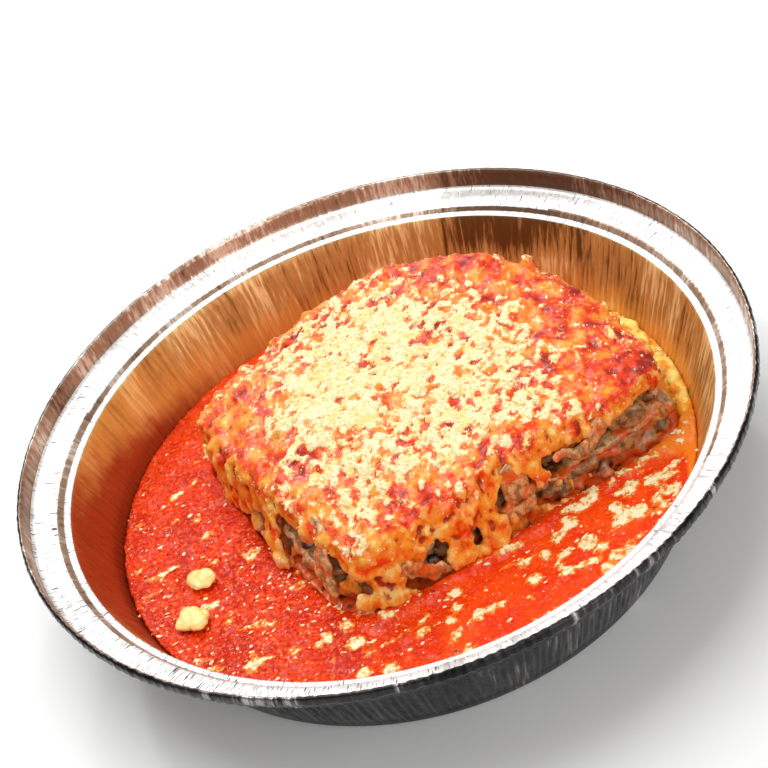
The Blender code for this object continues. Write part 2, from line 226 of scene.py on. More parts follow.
def add_strand(bm, strand, flat=(1.0, 1.0, 1.0), threads=3, uneven=0.3):
    """A drip or fold as chains of overlapping balls: along, across, up and radius of each turn.

    Flat squashes the balls in the slice's own directions. Threads lie side by side and melt into
    one stringy ribbon as wide as the radius says; uneven moves and resizes every ball a little."""
    squash = Matrix.Rotation(SLICE_TURN, 4, "Z") @ Matrix.Diagonal((*flat, 1.0))
    sideways = np.array((1.0, 0.0) if flat[1] < flat[0] else (0.0, 1.0))
    draw = np.random.default_rng(len(bm.verts))
    for thread in range(threads):
        offset = sideways * (2.0 * (thread + 0.5) / threads - 1.0) * (0.75 if threads > 1 else 0.0)
        for start, end in zip(strand, strand[1:] + strand[-1:]):
            steps = max(1, round(math.dist(start[:3], end[:3]) / 1.1))
            for step in range(steps):
                along, across, up, radius = (a + (b - a) * step / steps for a, b in zip(start, end))
                along, across = along + offset[0] * radius, across + offset[1] * radius
                if threads > 1:
                    radius *= 0.55
                shift = Vector(draw.normal(0.0, 0.5 * uneven * radius * MM, 3))
                radius *= draw.uniform(1.0 - uneven, 1.0 + uneven)
                where = Matrix.Translation(on_slice(along, across, up) + shift) @ squash
                bmesh.ops.create_icosphere(bm, subdivisions=2, radius=radius * MM, matrix=where)


print("slice centre", [round(value / MM, 1) for value in SLICE_CENTRE], "mm")
print("sauce level", round(SAUCE_LEVEL / MM, 1), "mm")


# %% [markdown]
# Every finish is built from nodes: soft random patterns in the object's own coordinates choose
# between a few colours, and the same patterns raise a fine relief. Short helpers keep the later
# cells readable. They only join nodes; a value that is the same everywhere is set on its socket.


# %% Helpers for materials
def start_finish(name, roughness, metallic=0.0):
    finish = bpy.data.materials.new(name)
    finish.use_nodes = True
    tree = finish.node_tree
    surface = tree.nodes["Principled BSDF"]
    surface.inputs["Roughness"].default_value = roughness
    surface.inputs["Metallic"].default_value = metallic
    print("finish:", name)
    return finish, tree, surface


def add_node(tree, kind, sockets, **settings):
    made = tree.nodes.new("ShaderNode" + kind)
    for setting, value in settings.items():
        setattr(made, setting, value)
    for socket, value in sockets.items():
        if isinstance(value, bpy.types.NodeSocket):
            tree.links.new(value, made.inputs[socket])
        else:
            made.inputs[socket].default_value = value
    return made


def pattern(tree, size, stretch=(1.0, 1.0, 1.0), detail=3.0, roughness=0.6):
    """A soft random pattern whose blotches are about size across."""
    spot = add_node(tree, "TexCoord", {}).outputs["Object"]
    scale = [1.0 / (size * longer) for longer in stretch]
    sized = add_node(tree, "Mapping", {"Vector": spot, "Scale": scale}).outputs["Vector"]
    sockets = {"Vector": sized, "Scale": 1.0, "Detail": detail, "Roughness": roughness}
    return add_node(tree, "TexNoise", sockets).outputs["Fac"]


def painted(tree, name):
    return add_node(tree, "Attribute", {}, attribute_name=name).outputs["Fac"]


def between(tree, value, low, high, start=0.0, end=1.0):
    """Start below low, end above high, and an S curve between."""
    sockets = {"Value": value, "From Min": low, "From Max": high, "To Min": start, "To Max": end}
    return add_node(tree, "MapRange", sockets, interpolation_type="SMOOTHSTEP").outputs["Result"]


def maths(tree, operation, first, second):
    return add_node(tree, "Math", {0: first, 1: second}, operation=operation).outputs[0]


def colour_mix(tree, amount, first, second):
    tones = {0: amount, 6: first, 7: second}
    return add_node(tree, "Mix", tones, data_type="RGBA").outputs[2]


def soaked(tree, top):
    """1 where the sauce has soaked a piece, 0 above top, with an uneven line between."""
    spot = add_node(tree, "TexCoord", {}).outputs["Object"]
    height = add_node(tree, "SeparateXYZ", {0: spot}).outputs["Z"]
    uneven = maths(tree, "MULTIPLY", pattern(tree, 5.0 * MM), 12.0 * MM)
    return between(tree, maths(tree, "ADD", height, uneven), top + 3.0 * MM, top + 8.0 * MM, 1.0, 0.0)


def relief(tree, height, depth, under=None):
    sockets = {"Height": height, "Distance": depth, "Strength": 1.0}
    if under is not None:
        sockets["Normal"] = under
    return add_node(tree, "Bump", sockets).outputs["Normal"]


def wet_coat(tree, surface, roughness, size=2.0 * MM):
    """A clear wet layer with soft dimples of its own, which scatter its glints."""
    surface.inputs["Coat Roughness"].default_value = roughness
    dimples = relief(tree, pattern(tree, size, detail=2.0), 0.35 * MM)
    tree.links.new(dimples, surface.inputs["Coat Normal"])


def tone(red, green, blue):
    return (red, green, blue, 1.0)


# %% [markdown]
# The floor is plain and pale, and the light is soft. A broad panel overhead does most of it, one in
# front opens the shadows, and a broad weak one stands behind. Three small bright panels at the back
# give the wet glints on cheese and sauce, because a small lamp is mirrored as a small sharp spot.

# %% Floor and light
bm = bmesh.new()
bmesh.ops.create_grid(bm, x_segments=1, y_segments=1, size=3.0)
floor_finish, tree, surface = start_finish("pale_floor", 0.8)
shade = between(tree, pattern(tree, 0.4), 0.3, 0.7)
tree.links.new(colour_mix(tree, shade, tone(0.93, 0.93, 0.93), tone(0.95, 0.95, 0.95)),
               surface.inputs["Base Color"])
floor = finish_piece(bm, "floor", floor_finish)
floor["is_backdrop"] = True
LIT_PLACE = Vector((0.0, 0.0, 0.02))


def add_panel(name, power, size, spot):
    """A square lamp at a spot, turned to the middle of the pan."""
    lamp = bpy.data.lights.new(name, "AREA")
    lamp.energy = power
    lamp.size = size
    panel = bpy.data.objects.new(name, lamp)
    panel.location = spot
    towards = LIT_PLACE - Vector(spot)
    panel.rotation_euler = towards.to_track_quat("-Z", "Y").to_euler()
    bpy.context.scene.collection.objects.link(panel)


add_panel("overhead", 10.5, 1.0, (-0.15, 0.2, 1.3))
add_panel("behind", 1.0, 0.7, (-0.25, 0.95, 0.8))
add_panel("glint_left", 1.1, 0.07, (-0.40, 0.60, 0.75))
add_panel("glint_middle", 0.7, 0.06, (-0.12, 0.80, 0.70))
add_panel("glint_right", 1.1, 0.07, (0.20, 0.75, 0.80))
add_panel("in_front", 5.2, 0.9, (0.35, -0.9, 0.55))
world = bpy.data.worlds.new("room")
world.use_nodes = True
world.node_tree.nodes["Background"].inputs["Color"].default_value = tone(1.0, 0.985, 0.96)
world.node_tree.nodes["Background"].inputs["Strength"].default_value = 0.4
bpy.context.scene.world = world
bpy.context.scene.view_settings.view_transform = "Standard"
print("lights:", len(bpy.data.lights))

# %% [markdown]
# Pressed foil is bright metal, but it shows mostly what is round it, and here that is painted into
# its colour as painted reflection. Inside the pan it is a warm brown painted reflection of the food
# and the far wall, with a film of grease and sauce above the level of the sauce. The ledge is nearly
# white with fine dark creases of painted shade, the lip is brownish, and the outside is painted dark
# as a reflection of dark surroundings, with painted silver streaks. The light and dark streaks are
# painted reflections of the pleats. So one recipe in three tones makes all of them. Its patterns use
# the direction from the middle and the distance along the section, so that streaks stand upright on
# the wall and radial on the ledge.


# %% Foil finishes
PATTERN_RADIUS = 105.0 * MM


def vector_maths(tree, operation, sockets):
    return add_node(tree, "VectorMath", sockets, operation=operation).outputs["Vector"]


def ring_pattern(tree, wide, long, detail=2.0):
    """A random pattern of streaks, wide round the pan's rim and long up its section."""
    spot = add_node(tree, "TexCoord", {}).outputs["Object"]
    flat = vector_maths(tree, "MULTIPLY", {0: spot, 1: (1.0, 1.0, 0.0)})
    way = vector_maths(tree, "NORMALIZE", {0: flat})
    round_pan = vector_maths(tree, "SCALE", {0: way, "Scale": PATTERN_RADIUS / wide})
    reach = add_node(tree, "VectorMath", {0: flat}, operation="LENGTH").outputs["Value"]
    height = add_node(tree, "SeparateXYZ", {0: spot}).outputs["Z"]
    along = maths(tree, "MULTIPLY", maths(tree, "ADD", reach, height), 1.0 / long)
    upright = add_node(tree, "CombineXYZ", {"Z": along}).outputs["Vector"]
    place_in_pattern = vector_maths(tree, "ADD", {0: round_pan, 1: upright})
    sockets = {"Vector": place_in_pattern, "Scale": 1.0, "Detail": detail, "Roughness": 0.6}
    return add_node(tree, "TexNoise", sockets).outputs["Fac"]


def foil_finish(name, tones, wide, long, roughness, metallic, fine_share=0.9):
    """Foil in three tones, which change in streaks of painted reflection, with fine creases in relief."""
    finish, tree, surface = start_finish(name, roughness, metallic)
    dark, middle, bright = tones
    fine = maths(tree, "MULTIPLY", ring_pattern(tree, wide, long), fine_share)
    mixed = maths(tree, "ADD", painted(tree, "reflection_streak"), fine)
    colour = colour_mix(tree, between(tree, mixed, 0.55, 0.95), dark, middle)
    colour = colour_mix(tree, between(tree, mixed, 1.00, 1.35), colour, bright)
    tree.links.new(colour, surface.inputs["Base Color"])
    creases = relief(tree, pattern(tree, 1.1 * MM, detail=2.0), 0.06 * MM)
    folds = relief(tree, ring_pattern(tree, 1.6 * MM, 12.0 * MM), 0.3 * MM, creases)
    tree.links.new(folds, surface.inputs["Normal"])
    return finish, tree, surface, colour


# Painted reflection and film: the inside is warm brown as if it mirrored the food and the far wall, with a
# film of grease and sauce.
warm_film_and_reflection_tones = tone(0.14, 0.052, 0.010), tone(0.60, 0.30, 0.085), tone(1.0, 0.74, 0.34)
inside_foil, tree, surface, colour = foil_finish("foil_inside", warm_film_and_reflection_tones, 0.8 * MM, 9.0 * MM, 0.36, 0.35)
film = maths(tree, "ADD", painted(tree, "film"), maths(tree, "MULTIPLY", pattern(tree, 6.0 * MM), 0.5))
golden = colour_mix(tree, between(tree, film, 0.40, 0.9, 0.0, 0.6), colour, tone(0.96, 0.46, 0.09))
reddish = colour_mix(tree, between(tree, film, 0.95, 1.5, 0.0, 0.9), golden, tone(0.40, 0.028, 0.006))
# A dark red band just above the sauce at the left: partly a sauce film, partly painted shade where wall and
# sauce meet.
tree.links.new(colour_mix(tree, painted(tree, "seam_film_and_shade"), reddish, tone(0.16, 0.016, 0.003)),
               surface.inputs["Base Color"])

pale_tones = tone(0.62, 0.60, 0.58), tone(0.95, 0.95, 0.94), tone(1.0, 1.0, 1.0)
rim_foil, tree, surface, colour = foil_finish("foil_rim", pale_tones, 1.5 * MM, 6.0 * MM, 0.3, 0.4)
# Painted shade: thin dark strokes where the ledge is creased.
strokes = maths(tree, "ADD", ring_pattern(tree, 0.40 * MM, 4.5 * MM, 1.0), painted(tree, "shaded_crease"))
crease_shade = between(tree, strokes, 0.645, 0.70, 0.0, 0.95)
tree.links.new(colour_mix(tree, crease_shade, colour, tone(0.02, 0.02, 0.025)), surface.inputs["Base Color"])

# Painted reflection: the outside is nearly black, as if it mirrored a dark room, with pale streaks of painted
# silver reflection.
dark_reflection_tones = tone(0.004, 0.004, 0.005), tone(0.030, 0.028, 0.029), tone(0.50, 0.48, 0.46)
outside_foil = foil_finish("foil_outside", dark_reflection_tones, 0.8 * MM, 14.0 * MM, 0.25, 0.85, 0.68)[0]
lip_tones = tone(0.14, 0.075, 0.045), tone(0.42, 0.27, 0.18), tone(0.85, 0.72, 0.60)
lip_foil = foil_finish("foil_lip", lip_tones, 0.8 * MM, 5.0 * MM, 0.3, 0.6)[0]
print("foil finishes:", inside_foil.name, rim_foil.name, outside_foil.name, lip_foil.name)

# %% [markdown]
# The pan is pressed from one sheet: a flat base, a slanted wall, a narrow bead, a step, a broad
# ledge and an upright lip, whose edge is rolled outwards. Its section is drawn once, inside and
# back outside, and spun round. The pleats come after the spin: each press fold moves its columns
# of corners outwards, unevenly, and dies out on the ledge.

# %% Foil pan: section and spin
INSIDE, RIM, OUTSIDE, LIP = range(4)
PLEATS = 234
COLUMNS_A_PLEAT = 4
WALL_STEPS = 14
INNER_SECTION = (
    (0.0, 0.85), (65.6, 0.85), (66.4, 0.25), (84.0, 0.25), (86.0, 0.8), (87.0, 2.0), (87.4, 3.8),
)
RIM_SECTION = (
    (100.6, 37.6), (101.1, 38.25), (101.8, 38.5), (102.6, 38.3), (103.2, 38.7), (104.2, 39.9),
    (104.9, 40.25), (106.9, 40.6), (109.0, 40.95), (111.0, 41.3), (112.2, 41.55), (112.8, 42.1),
    (113.1, 43.6), (113.3, 45.2), (113.5, 46.8), (113.8, 47.6), (114.3, 48.0), (114.9, 47.8),
    (115.2, 47.2), (115.2, 46.4), (115.2, 45.5), (114.9, 44.8), (114.4, 44.6), (114.05, 45.0),
    (113.95, 46.4), (113.75, 46.4), (113.55, 45.0), (113.35, 43.4), (113.05, 41.95), (112.3, 41.25),
    (109.0, 40.7), (104.95, 40.0), (104.4, 39.7), (103.4, 38.45), (102.6, 38.05), (101.8, 38.25),
    (101.3, 38.0), (100.85, 37.5),
)
OUTER_SECTION = (
    (87.65, 3.7), (87.25, 1.9), (86.2, 0.55), (84.1, 0.0), (66.5, 0.0), (65.7, 0.6), (0.0, 0.6),
)


def evenly(start, end, steps):
    """The points between two corners of the section, without the corners themselves."""
    return [tuple(a + (b - a) * step / steps for a, b in zip(start, end)) for step in range(1, steps)]


section = [
    *INNER_SECTION, *evenly(INNER_SECTION[-1], RIM_SECTION[0], WALL_STEPS),
    *RIM_SECTION, *evenly(RIM_SECTION[-1], OUTER_SECTION[0], WALL_STEPS), *OUTER_SECTION,
]
bm = bmesh.new()
line = [bm.verts.new((radius * MM, 0.0, up * MM)) for radius, up in section]
bmesh.ops.spin(
    bm, geom=line + [bm.edges.new(pair) for pair in zip(line, line[1:])], axis=(0.0, 0.0, 1.0),
    cent=(0.0, 0.0, 0.0), angle=math.tau, steps=PLEATS * COLUMNS_A_PLEAT, use_merge=True,
)
bmesh.ops.remove_doubles(bm, verts=bm.verts, dist=1e-7)
bmesh.ops.recalc_face_normals(bm, faces=bm.faces)
if bm.calc_volume(signed=True) < 0.0:
    bmesh.ops.reverse_faces(bm, faces=bm.faces)
pan = finish_piece(bm, "pressed_foil_pan", inside_foil, rim_foil, outside_foil, lip_foil)
print("pan:", len(pan.data.polygons), "faces")

# %% [markdown]
# Pressed pleats are not all alike. Random values shift them and make some deeper than others. Those
# values are read on an upright wall round the pan, where the height counts for less than the way
# round, so that each pleat keeps its form from base to rim. Others crumple the foil a little.

# %% Foil pan: pleats and creases
WALL_RADIUS = 100.0 * MM


def round_the_wall(stretch):
    """Every corner of the pan on one upright wall, with its height scaled by stretch."""
    return np.stack([ring[:, 0] * WALL_RADIUS, ring[:, 1] * WALL_RADIUS, up * stretch], 1)


table = corners_of(pan.data)
x, y, up = table.T
radius, turn = np.hypot(x, y), np.arctan2(y, x)
ring = np.stack([x / radius.clip(1e-6), y / radius.clip(1e-6), np.zeros_like(x)], 1)
drift = wobble(round_the_wall(0.25), 4.0 * MM, 1, 2)
wander = wobble(round_the_wall(0.0), 2.2 * MM, 2, 2)
fold = 0.5 - 0.5 * np.cos(turn * PLEATS + 2.2 * drift)
fold = fold**1.4 * (0.75 + 0.6 * wander)
on_wall = ramp(up, 2.0 * MM, 8.0 * MM) * ramp(-up, -38.0 * MM, -36.5 * MM)
on_wall *= ramp(radius, 86.0 * MM, 88.0 * MM)
on_ledge = ramp(radius, 101.0 * MM, 103.0 * MM) * ramp(-radius, -113.2 * MM, -112.0 * MM)
on_ledge *= ramp(up, 37.5 * MM, 38.5 * MM)
on_lip = ramp(radius, 112.4 * MM, 113.2 * MM)
crumple = wobble(table, 2.6 * MM, 3, 2)
outwards = 0.62 * on_wall * fold + 0.22 * on_lip * (fold - 0.5) + 0.18 * (on_wall + on_lip) * crumple
table += ring * (outwards * MM)[:, None]
table[:, 2] -= (on_ledge * (0.16 * fold + 0.10 * crumple) + 0.18 * on_lip * fold).clip(-0.1, 1.0) * MM
set_corners(pan.data, table)
print("pleats", PLEATS, "deepest", round(outwards.max(), 2), "mm")

# %% [markdown]
# Each face of the pan gets one of the four finishes, by the way it faces and how far out it lies.
# The lip's warm finish also covers the step between bead and ledge, which is as wide as it looks
# in the photograph at each bearing.

# %% Foil pan: a finish for every face
STEP_END = (  # bearing in degrees and how far out the step reaches there, in millimetres
    (0, 104.7), (40, 104.7), (60, 103.9), (140, 103.9), (150, 104.7), (212, 104.7), (214, 103.9),
    (236, 103.9), (238, 103.0), (320, 103.0), (322, 104.7), (360, 104.7),
)
facing = np.empty(len(pan.data.polygons) * 3)
pan.data.polygons.foreach_get("normal", facing)
middle = np.empty(len(pan.data.polygons) * 3)
pan.data.polygons.foreach_get("center", middle)
facing, middle = facing.reshape(-1, 3), middle.reshape(-1, 3)
reach = np.hypot(middle[:, 0], middle[:, 1])
outward = (facing * middle)[:, :2].sum(1) / reach.clip(1e-6)
outer_skin = (outward > 0.25) & (facing[:, 2] < 0.15)
outer_skin &= (middle[:, 2] < 44.0 * MM) & (reach > 84.0 * MM)
outer_skin |= (facing[:, 2] < -0.4) & (middle[:, 2] < 43.0 * MM)
rim_skin = (reach > 101.2 * MM) & (reach < 113.0 * MM) & ~outer_skin
chosen = np.where(outer_skin, OUTSIDE, np.where(rim_skin, RIM, INSIDE)).astype(np.int32)
chosen[(reach > 112.6 * MM) & (middle[:, 2] > 42.0 * MM) & (outward < 0.0)] = LIP
chosen[(reach > 113.1 * MM) & (outward > 0.0)] = OUTSIDE
bearing = np.degrees(np.arctan2(middle[:, 1], middle[:, 0])) % 360.0
step_end = np.interp(bearing, *zip(*STEP_END)) * MM
chosen[(reach > 103.1 * MM) & (reach < step_end) & ~outer_skin] = LIP
pan.data.polygons.foreach_set("material_index", chosen)
print("faces inside, on the rim, outside and on the lip:", np.bincount(chosen))

# %% [markdown]
# Four painted values tell the finishes what lies where: light and dark streaks of painted reflection,
# the film of grease and sauce, a dark red line at the left where sauce has dried and painted shade
# falls at the sauce's edge, and the ledge's creases, which get painted shade.


# %% Foil pan: streaks, film and creases
def round_about(turn, degrees, width):
    """1 at one bearing of the pan, fading to 0 on both sides."""
    apart = np.mod(turn - math.radians(degrees) + math.pi, math.tau) - math.pi
    return bell(apart, 0.0, math.radians(width))


# Painted reflection and shade: light and dark streaks, darker on the pleats' outer folds, a dark patch high
# on the wall at the back right, brighter towards the back and darker towards the right.
reflection_streak = 0.52 + 0.25 * wobble(round_the_wall(0.09), 1.9 * MM, 61, 3)
reflection_streak += 0.36 * wobble(round_the_wall(0.5), 15.0 * MM, 62, 2)
reflection_streak -= 0.28 * (fold - 0.4) * on_wall
reflection_streak -= 0.45 * bell(turn, 0.9, 0.28) * ramp(up, 24.0 * MM, 32.0 * MM)
reflection_streak += 0.16 * bell(turn, 1.65, 0.5) - 0.12 * bell(turn, 0.35, 0.5)
paint(pan, "reflection_streak", reflection_streak)
low = ramp(-up, -34.0 * MM, -14.0 * MM)
paint(pan, "film", 0.62 * low + round_about(turn, 186.0, 50.0) * (1.25 + 0.3 * low))
# The dark red band at the left, above the sauce: partly a sauce film, partly painted shade.
paint(pan, "seam_film_and_shade", 0.8 * ramp(-up, -22.0 * MM, -17.0 * MM) * round_about(turn, 185.0, 50.0))
# Painted shade in the ledge's creases, most at the left and front left, a few at the right.
shaded_crease = 0.08 * round_about(turn, 190.0, 40.0) + 0.07 * round_about(turn, 235.0, 28.0)
paint(pan, "shaded_crease", shaded_crease + 0.05 * round_about(turn, 20.0, 25.0) - 0.03)
place(pan, "foil", "foil_pan")
print("pan painted with", [layer.name for layer in pan.data.attributes if layer.data_type == "FLOAT"])

# %% [markdown]
# The sauce is a coarse tomato sauce: shiny, saturated orange-red, with grain in it, and orange oil
# where it touches pan and slice. At the left it is thick and coarse, elsewhere thin and smooth.
# Lacy patches of melting cheese float on it: a painted value says where, and a finer random
# pattern in the finish breaks them up.


# %% Sauce finish
sauce_finish, tree, surface = start_finish("red_sauce", 0.35)
surface.inputs["Specular IOR Level"].default_value = 0.08
grain = pattern(tree, 1.2 * MM, detail=4.0, roughness=0.7)
pools = pattern(tree, 11.0 * MM, detail=2.0)
coarse = painted(tree, "coarse")
pooled = between(tree, pools, 0.35, 0.65)
thick = colour_mix(tree, pooled, tone(0.60, 0.016, 0.001), tone(0.82, 0.042, 0.002))
thin = colour_mix(tree, pooled, tone(0.84, 0.040, 0.001), tone(0.98, 0.078, 0.003))
red = colour_mix(tree, between(tree, coarse, 0.35, 0.85), thin, thick)
pulp, juice = between(tree, grain, 0.53, 0.66), between(tree, grain, 0.48, 0.36)
red = colour_mix(tree, maths(tree, "MULTIPLY", pulp, coarse), red, tone(0.98, 0.20, 0.05))
red = colour_mix(tree, maths(tree, "MULTIPLY", juice, coarse), red, tone(0.34, 0.006, 0.001))
oil = maths(tree, "ADD", painted(tree, "oil"), maths(tree, "MULTIPLY", pools, 0.4))
red = colour_mix(tree, between(tree, oil, 0.55, 0.95), red, tone(0.93, 0.24, 0.010))
gold = maths(tree, "ADD", painted(tree, "gold"), maths(tree, "MULTIPLY", grain, 0.9))
red = colour_mix(tree, between(tree, gold, 0.55, 0.90), red, tone(0.92, 0.38, 0.03))
red = colour_mix(tree, between(tree, gold, 0.86, 1.15), red, tone(1.0, 0.76, 0.20))
herbs = between(tree, pattern(tree, 2.2 * MM, detail=1.0), 0.735, 0.765)
red = colour_mix(tree, herbs, red, tone(0.12, 0.05, 0.01))
thread = pattern(tree, 1.9 * MM, detail=3.0, roughness=0.6)
lace = maths(tree, "ADD", painted(tree, "cheese"), maths(tree, "MULTIPLY", thread, 2.4))
red = colour_mix(tree, between(tree, lace, 1.50, 1.85), red, tone(0.96, 0.26, 0.03))
cheesy = between(tree, lace, 1.84, 2.04)
red = colour_mix(tree, cheesy, red, tone(0.98, 0.62, 0.20))
red = colour_mix(tree, between(tree, lace, 2.00, 2.28), red, tone(1.0, 0.91, 0.60))
tree.links.new(red, surface.inputs["Base Color"])
wetness = maths(tree, "ADD", pattern(tree, 3.0 * MM, detail=3.0), painted(tree, "wet"))
tree.links.new(between(tree, wetness, 0.54, 0.64, 0.02, 0.4), surface.inputs["Coat Weight"])
lumpy = relief(tree, cheesy, 0.25 * MM)
tree.links.new(relief(tree, grain, 0.3 * MM, lumpy), surface.inputs["Normal"])
wet_coat(tree, surface, 0.05, 2.2 * MM)

# %% [markdown]
# The solid is melted into one fine skin, with a row of small balls where froth and oil climb the
# pan's wall at the right. Values for every corner then say where it is golden, cheesy, coarse or
# drawn up along the slice's front. The solid's own clumps are known by their height, and count as
# cheese. These values move the skin here, and the material reads them too.

# %% Sauce: one fine skin
draw = np.random.default_rng(5)
bm = merged_copy("tomato_sauce")
for bearing in np.radians(np.arange(-14.0, 40.0, 0.7)):
    reach = (89.0 + draw.normal(0.0, 0.5)) * MM
    size = draw.uniform(0.7, 1.9) * MM
    spot = (reach * math.cos(bearing), reach * math.sin(bearing), SAUCE_LEVEL + draw.uniform(-0.8, 1.6) * MM)
    bmesh.ops.create_icosphere(bm, subdivisions=2, radius=size, matrix=Matrix.Translation(spot))
sauce = finish_piece(bm, "grainy_sauce", sauce_finish)
one_skin(sauce, 0.85 * MM)

# %% Sauce: where it is golden, cheesy, coarse or drawn up
table = corners_of(sauce.data)
facing = normals_of(sauce.data)
above = table[:, 2] - SAUCE_LEVEL
radius = np.hypot(table[:, 0], table[:, 1])
bearing = np.degrees(np.arctan2(table[:, 1], table[:, 0]))
golden = bell(bearing, 13.0, 26.0, 4) * ramp(radius, 78.0 * MM, 88.0 * MM)
bent = np.stack([radius, np.radians(bearing) * 0.03, table[:, 2]], 1)
golden *= 0.62 + 0.75 * wobble(bent, 2.6 * MM, 63, 3)
clumps = ramp(above, 0.45 * MM, 1.1 * MM) * (golden < 0.2)
busy = bell(bearing, -38.0, 34.0) + 0.25 * bell(bearing, -95.0, 26.0)
at_left = bell(bearing % 360.0, 215.0, 42.0)
along, across = slice_places(table)
drawn = np.stack([along * 0.5 * MM, across * MM, 0.3 * table[:, 2]], 1)
lace = wobble(drawn, 5.0 * MM, 5, 4)
patches = ramp(lace + 0.34 * busy + 0.02 * at_left, 0.30, 0.75)
patches *= (facing[:, 2] > 0.5) * (radius < 89.0 * MM)
touching = (ramp(across, -55.0, -50.0) * ramp(-across, 44.0, 47.0)
            * ramp(along, -60.0, -50.0) * ramp(-along, -72.0, -66.0))
froth = touching * ramp(along, 22.0, 36.0)
patches = np.maximum(patches, froth * ramp(wobble(table, 4.0 * MM, 64, 3), 0.0, 0.5))
cheese = np.maximum(clumps, patches) * (1.0 - golden)
coarse = 0.30 + 0.70 * bell(bearing % 360.0, 195.0, 62.0, 4)
print("share of the corners under cheese", round(float((cheese > 0.5).mean()), 3))

# %% Sauce: ripples, edges and painted values
flat = np.where(above > 0.5 * MM, 0.5 * MM + (above - 0.5 * MM) * 0.35 - above, 0.0) * (golden < 0.2)
ripple = 0.25 * wobble(table, 5.0 * MM, 6, 3) + 0.32 * wobble(table, 1.8 * MM, 7, 3)
ripple += golden.clip(0.0, 1.0) * (0.5 + 0.9 * wobble(bent, 1.8 * MM, 65, 3))
ripple += 0.45 * coarse * wobble(table, 1.5 * MM, 67, 2)
crumbly = 0.25 * cheese * (0.6 + 1.4 * wobble(table, 1.2 * MM, 8, 2))
rise = 1.1 * touching + 0.5 * ramp(radius, 89.0 * MM, 91.5 * MM) + crumbly
table[:, 2] += (flat + (ripple + rise) * MM) * (facing[:, 2] > 0.3)
sideways = facing * np.array((1.0, 1.0, 0.0))
table += sideways * 0.55 * MM
set_corners(sauce.data, table)
paint(sauce, "cheese", cheese)
right_edge = bell(bearing, -5.0, 30.0) * ramp(along, 40.0, 66.0)
slice_edge = ramp(across, -60.0, -49.0) * ramp(-along, -75.0, -60.0) * ramp(along, -66.0, -58.0)
rim_oil = 0.5 * ramp(radius, 88.5 * MM, 91.0 * MM) * bell(bearing, -20.0, 60.0, 4)
paint(sauce, "oil", np.clip(right_edge + rim_oil + 0.3 * slice_edge, 0.0, 1.0))
paint(sauce, "coarse", coarse)
paint(sauce, "wet", 0.05 * coarse + 0.25 * touching)
paint(sauce, "gold", golden)
place(sauce, "sauce", "tomato_sauce")

# %% [markdown]
# Between the sheets lies browned meat in sauce, which shows as greyish brown crumbles with wet
# glints. The finish has painted shade in the hollows, which are measured on the mesh, a painted
# highlight on the bumps, and is soaked red near the level of the sauce.


# %% Filling finish
meat_finish, tree, surface = start_finish("meat_filling", 0.35)
tones = pattern(tree, 3.0 * MM, detail=3.0)
brown = colour_mix(tree, between(tree, tones, 0.35, 0.6), tone(0.11, 0.056, 0.020), tone(0.45, 0.26, 0.11))
pink = between(tree, pattern(tree, 6.0 * MM, detail=2.0), 0.54, 0.68)
brown = colour_mix(tree, pink, brown, tone(0.62, 0.26, 0.10))
saucy = between(tree, pattern(tree, 9.0 * MM, (1.0, 1.0, 0.6), 3.0), 0.54, 0.64)
brown = colour_mix(tree, saucy, brown, tone(0.70, 0.085, 0.006))
brown = colour_mix(tree, soaked(tree, 18.0 * MM), brown, tone(0.78, 0.10, 0.008))
# Painted highlight on the bumps and painted shade in the hollows.
lit = between(tree, painted(tree, "hollow"), -0.8, -1.8, 0.0, 0.5)
brown = colour_mix(tree, lit, brown, tone(0.74, 0.42, 0.20))
painted_hollow_shade = between(tree, painted(tree, "hollow"), 0.02, 0.55)
brown = colour_mix(tree, painted_hollow_shade, brown, tone(0.022, 0.008, 0.004))
tree.links.new(brown, surface.inputs["Base Color"])
tree.links.new(relief(tree, pattern(tree, 0.9 * MM, detail=3.0), 0.4 * MM), surface.inputs["Normal"])
surface.inputs["Coat Weight"].default_value = 0.6
wet_coat(tree, surface, 0.06)

# %% [markdown]
# Balls of many sizes are pressed into the edge of each filling and melted into its skin, and a few
# larger hollows are then pushed in where filling has come out of the slice.


# %% Places on the slice's sides
def edge_spots(piece, count, draw, low, high):
    """Random places on the upright outside of a piece between two heights."""
    mesh = piece.data
    facing = np.array([face.normal for face in mesh.polygons])
    middle = np.array([face.center for face in mesh.polygons])
    area = np.array([face.area for face in mesh.polygons])
    weight = area * (np.abs(facing[:, 2]) < 0.75) * (middle[:, 2] > low) * (middle[:, 2] < high)
    picked = draw.choice(len(area), count, p=weight / weight.sum())
    return middle[picked], facing[picked]


DENTS = (  # along, across, up, reach and depth of the hollows in the slice's sides
    (10.0, -44.5, 33.0, 7.0, 3.5),
    (23.0, -45.0, 26.5, 5.0, 4.5),
    (-28.0, -45.5, 24.0, 6.0, 4.5),
    (-54.5, -9.0, 30.0, 8.0, 3.5),
    (44.0, -44.5, 30.0, 5.0, 2.0),
    (-52.0, -31.0, 24.0, 4.0, 3.0),
)


def press_dents(table, outwards):
    """Pushes a piece's corners towards the slice's middle at each hollow."""
    for along, across, up, reach, depth in DENTS:
        table -= outwards * (near(table, along, across, up, reach) * depth * MM)[:, None]


def outwards_from_middle(table):
    flat = (table - np.array(SLICE_CENTRE)) * np.array((1.0, 1.0, 0.0))
    return flat / np.linalg.norm(flat, axis=1).clip(1e-6)[:, None]


print("hollows in the sides:", len(DENTS))

